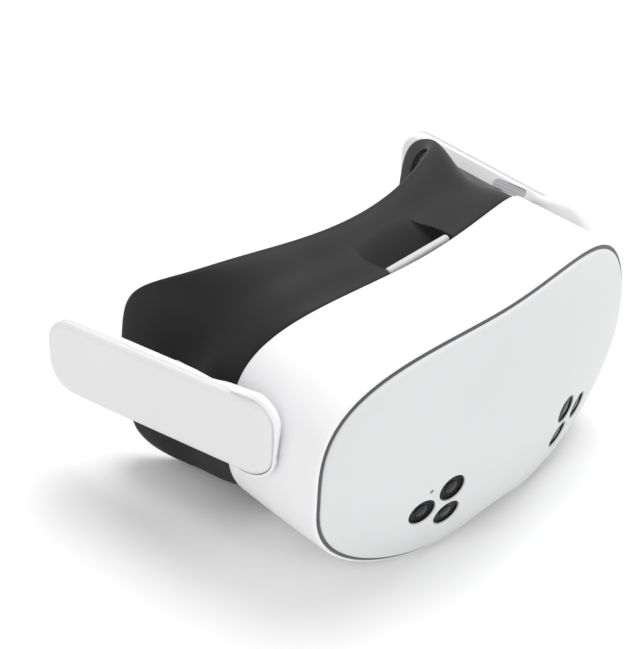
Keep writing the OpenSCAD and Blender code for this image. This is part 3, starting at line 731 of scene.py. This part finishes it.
def interface_carrier():
    """The hard ring that the soft parts are moulded on, which snaps into the visor's rear edge."""
    section = [(-3.0, 2.6), (-2.7, 2.4), (3.0, 2.4), (3.4, 2.7)]
    section += [(3.4, 4.5), (3.0, 4.8), (-2.6, 4.8), (-3.0, 4.4)]

    def at(t, back, d):
        x, z = outline(t, shrink(REAR_EDGE, SHIELD_INSET + d))
        z = soft_floor(z, -MID_H + FLOOR_LIFT + d)
        return x, rear_y(x) + back, z - scoop_depth(x, rear_y(x) + back) * (z > 30)

    carrier = ring_solid("interface_carrier", [[at(t, *p) for p in section] for t in turns(720)], 40)
    dress(carrier, "bezel_black", "facial_interface", "facial_frame")


def vent_bar():
    """The pale speckled bar across the air outlet, with rounded ends and a comb of ribs below."""
    half, mid_y, mid_z, reach_y, reach_z = VENT_HALF - 0.5, 59.7, 47.2, 1.75, 2.3
    tip = [(0, 0.55), (0.25, 0.8), (0.7, 0.95), (1.3, 1.0)]  # distance from the end, and size there
    steps = [(-half + d, k) for d, k in tip]
    steps += [(x, 1.0) for x in arc(-half + 3, half - 3, 12)]
    steps += [(half - d, k) for d, k in reversed(tip)]
    section = [(math.copysign(abs(math.cos(a)) ** 0.8, math.cos(a)), math.sin(a)) for a in turns(40)]
    rings = [[(x, mid_y + k * reach_y * p, mid_z + k * reach_z * q) for p, q in section]
             for x, k in steps]
    parts = [stack_solid("bar", rings)]
    pitch, thick, near, far = 2, 0.45, 57.4, 60.2
    for i in range(-8, 9):
        low, high = i * pitch - thick, i * pitch + thick
        plan = [(low, near), (high, near), (high, far), (low, far)]
        parts.append(stack_solid("rib", [[(x, y, z) for x, y in plan] for z in (43.2, 46.0)]))
    dress(joined("vent_bar", parts), "vent_light", "visor", "vent_grille")
    seal = [[(x, y, z) for x, y in ((-half, 55.75), (half, 55.75), (half, 56.5), (-half, 56.5))]
            for z in (43.0, 48.4, 48.7)]
    seal[2] = [(x, 56.1 + (y - 56.1) * 0.4, z) for x, y, z in seal[2]]
    dress(stack_solid("vent_seal", seal), "gasket_grey", "visor")


# ---------------------------------------------------------------- arms
ARM_X, ARM_SPLAY, ARM_PITCH, ARM_H = 95.3, math.radians(7), math.radians(6.8), 33.0
ARM_T, COVER_T, GROOVE = 9.0, 2.6, 0.15
CORNER = 12.0
HALF = ARM_H / 2
REACH = (ARM_END - PIVOT_Y - CORNER - (HALF - CORNER) * math.sin(ARM_PITCH)) / math.cos(ARM_PITCH)
GRILLE_U, GRILLE_L, GRILLE_W, BEVEL = 25.0, 17.0, 3.6, 3.6
BAND_SINK = 0.9  # depth of the knuckle's raised band below the plate's face
# Rounded front corners, upper then lower: place along and across the arm from the pivot, and radius
PLATE_FRONT = ((-6.3, 8.2, 9.0), (-2.5, 12.5 - HALF, 12.5))
BODY_FRONT = ((-7.0, 8.8, 10.5), (-3.0, -5.0, 12.8))
EDGE_START = 10.0  # where the straight edges start, along the arm from the pivot


def arm_out(y):
    return ARM_X + (y - PIVOT_Y) * math.tan(ARM_SPLAY)


def arm_in(y):
    return max(ARM_INNER_X, arm_out(y) - ARM_T)


def arm_place(u, v):
    """Depth and height, in mm, of a point along and across an arm."""
    c, s = math.cos(ARM_PITCH), math.sin(ARM_PITCH)
    return PIVOT_Y + u * c + v * s, PIVOT_Z - u * s + v * c


def side_outline(front, grow):
    """Side view of an arm: two rounded corners in front, straight edges and two corners behind."""
    points = []
    for (u, v, r), first in zip(front, (math.pi / 2, math.pi)):
        points += [(u + (r + grow) * math.cos(a), v + (r + grow) * math.sin(a))
                   for a in arc(first, first + math.pi / 2, 30)]
    foot, head, half = points[-1], points[0], HALF + grow
    blend = arc(0, 1, 6)[1:-1]
    edge = arc(EDGE_START, REACH - 2, 16)
    points += [(mix(foot[0], EDGE_START, k), mix(foot[1], -half, k)) for k in blend]
    points += [(u, -half) for u in edge]
    for end in (-1, 1):
        first = -math.pi / 2 if end < 0 else 0
        middle, r = end * (HALF - CORNER), CORNER + grow
        points += [(REACH + r * math.cos(a), middle + r * math.sin(a))
                   for a in arc(first, first + math.pi / 2, 20)]
    points += [(u, half) for u in reversed(edge)]
    return points + [(mix(EDGE_START, head[0], k), mix(half, head[1], k)) for k in blend]


def outline_growth(front):
    """Each point of an outline, and its motion for each mm that the outline grows."""
    return [(u, v, u1 - u, v1 - v)
            for (u, v), (u1, v1) in zip(side_outline(front, 0), side_outline(front, 1))]


def arm_rings(side, steps):
    """Rings of an arm's solid, from lists of (u, v, distance from the middle plane in mm)."""
    return [[(side * x,) + arm_place(u, v) for u, v, x in ring] for ring in steps]


def arm_cover(side):
    """The outer plate: flat, with a rounded border and a square foot in the groove."""
    name = SIDES[side]
    wide, deep = 3.4, 2.2  # the rounded border's width and depth
    profile = [(-7.5, 0), (-6.6, 0), (-wide - 0.5, 0)]
    profile += [(-wide + wide * math.sin(a), deep - deep * math.cos(a))
                for a in arc(0, math.pi / 2, 12)]
    profile += [(-0.1, COVER_T - 0.25), (-0.45, COVER_T), (-1.2, COVER_T)]
    steps = [[(u, v, arm_out(arm_place(u, v)[0]) - depth)
              for u, v in side_outline(PLATE_FRONT, grow)] for grow, depth in profile]
    plate = stack_solid(f"{name}_arm_plate", arm_rings(side, steps))
    # the plate's arm_grey base, darker than the body's white, is painted shade for its side-facing
    # face
    return dress(plate, "arm_grey", f"{name}_arm", f"{name}_arm_cover")


def body_column(plate, body):
    """One direction's points of an arm's body, from the plate's seat round to the inner face."""
    (pu, pv, *_), (u, v, *_) = plate, body
    floor = COVER_T + GROOVE
    gap = math.hypot(u - pu, v - pv)
    band = smooth((gap - 0.2) / 1.0)  # 1 where the raised band is, 0 along the straight edges
    top = mix(floor, BAND_SINK, band)
    outer = mix(1.3, gap / 2, band)
    y = arm_place(u, v)[0]
    inner = min(2.3, arm_out(y) - top - outer - arm_in(y) - 0.15)
    bevel = smooth((u - 9) / 5) * (1 - smooth((u - REACH + 8) / 8)) if v > 0 else 0.0
    quarter = arc(0, math.pi / 2, 7)
    outside = [
        (plate, -6.0, floor),
        (plate, mix(-1.8, 0.3, band), floor),
        (plate, mix(-1.7, 0.3, band), top + 0.3 * band),
        (plate, mix(-1.6, 0.6, band), top),
    ]
    outside += [(body, -outer + outer * math.sin(a), top + outer - outer * math.cos(a))
                for a in quarter]
    inside = []
    for a in quarter:
        k = a / (math.pi / 2)
        grow = mix(-inner * (1 - math.cos(a)), -BEVEL * k, bevel)
        inside.append((body, grow, mix(inner * (1 - math.sin(a)), BEVEL * (1 - k), bevel)))
    inside.append((body, -BEVEL - 1.5, 0))
    points = []
    for steps, surface, sign in ((outside, arm_out, -1), (inside, arm_in, 1)):
        for (u, v, du, dv), grow, depth in steps:
            u, v = u + grow * du, v + grow * dv
            points.append((u, v, surface(arm_place(u, v)[0]) + sign * depth))
    return points


def arm_body(side):
    """The arm's body: a raised band round the plate's front, bevelled along the inner top edge."""
    name = SIDES[side]
    edges = zip(outline_growth(PLATE_FRONT), outline_growth(BODY_FRONT))
    columns = [body_column(plate, body) for plate, body in edges]
    body = stack_solid(f"{name}_arm_body", arm_rings(side, zip(*columns)), 40)
    slot = capsule("hole", on_bevel(side), GRILLE_L + 0.5, GRILLE_W + 0.5, -1.6, 6)
    cut(body, [slot], 40)
    return dress(body, "shell_white", f"{name}_arm", f"{name}_arm_inner")


def on_bevel(side):
    """Local +X along the arm and +Z out of the bevel on its inner top edge, at the sound outlet."""
    y, z = arm_place(GRILLE_U, HALF - BEVEL / 2)
    c, s = math.cos(ARM_PITCH), math.sin(ARM_PITCH)
    out = (-side, s, c)
    return placed_by((side * (ARM_INNER_X + BEVEL / 2), y, z), (0, c, -s), out)


def sound_outlet(side):
    """The pill-shaped grille in the arm's bevel, with two rows of small holes."""
    name = SIDES[side]
    place = on_bevel(side)
    grille = capsule(f"{name}_sound_outlet", place, GRILLE_L, GRILLE_W, -1.3, -0.25)
    holes = []
    pitch = 1.1
    for across in (-0.7, 0.7):
        for i in range(-6, 7):
            spot = moved(place, pitch * i, across)
            holes.append(cylinder("hole", spot, 0.24, -0.75, 1, 12))
    cut(grille, [joined("holes", holes)])
    dress(grille, "grille_grey", f"{name}_arm", f"{name}_speaker_grille")


# ---------------------------------------------------------------- stage
def stage_and_camera():
    """A plain pale floor, soft lights, and a camera that looks down on the visor's front right."""
    scene = bpy.context.scene
    bpy.ops.mesh.primitive_plane_add(size=8)
    floor = bpy.context.object
    floor.name = "studio_floor"
    floor.data.materials.append(plastic("floor_white", (0.93, 0.93, 0.93), 0.6, tone=0.004))
    world = bpy.data.worlds.new("studio")
    world.use_nodes = True
    world.node_tree.nodes["Background"].inputs[0].default_value = (1, 1, 1, 1)
    world.node_tree.nodes["Background"].inputs[1].default_value = 0.62
    scene.world = world
    scene.view_settings.view_transform = "Standard"
    for name, place, size, power in (
        ("key", (0.5, 0.3, 1.3), 1.0, 13),
        ("fill", (-1.2, -0.5, 0.9), 0.9, 5),
        ("front", (0.2, -1.4, 0.8), 0.9, 4),
    ):
        lamp = bpy.data.lights.new(name, "AREA")
        lamp.size = size
        lamp.energy = power
        light = bpy.data.objects.new(name, lamp)
        light.location = place
        light.visible_glossy = name == "key"
        aim = Vector((0, 0, 0.05)) - Vector(place)
        light.rotation_euler = aim.to_track_quat("-Z", "Y").to_euler()
        scene.collection.objects.link(light)
    lens = bpy.data.cameras.new("camera")
    lens.lens = 117.85
    lens.sensor_width = 36
    camera = bpy.data.objects.new("camera", lens)
    right = Vector((0.67847, -0.72861, 0.09378))
    up = Vector((0.39829, 0.47210, 0.78644))
    back = Vector((-0.61728, -0.49623, 0.61051))
    camera.matrix_world = Matrix.Translation((-0.52870, -0.39656, 0.55839)) @ Matrix(
        (right, up, back)
    ).transposed().to_4x4()
    scene.collection.objects.link(camera)
    scene.camera = camera


stage_and_camera()
paint_cad_nodes()
visor_shell()
faceplate()
groove_gasket()
camera_windows()
light_shield()
face_cushion()
interface_carrier()
vent_bar()
for arm in SIDES:
    arm_cover(arm)
    arm_body(arm)
    sound_outlet(arm)
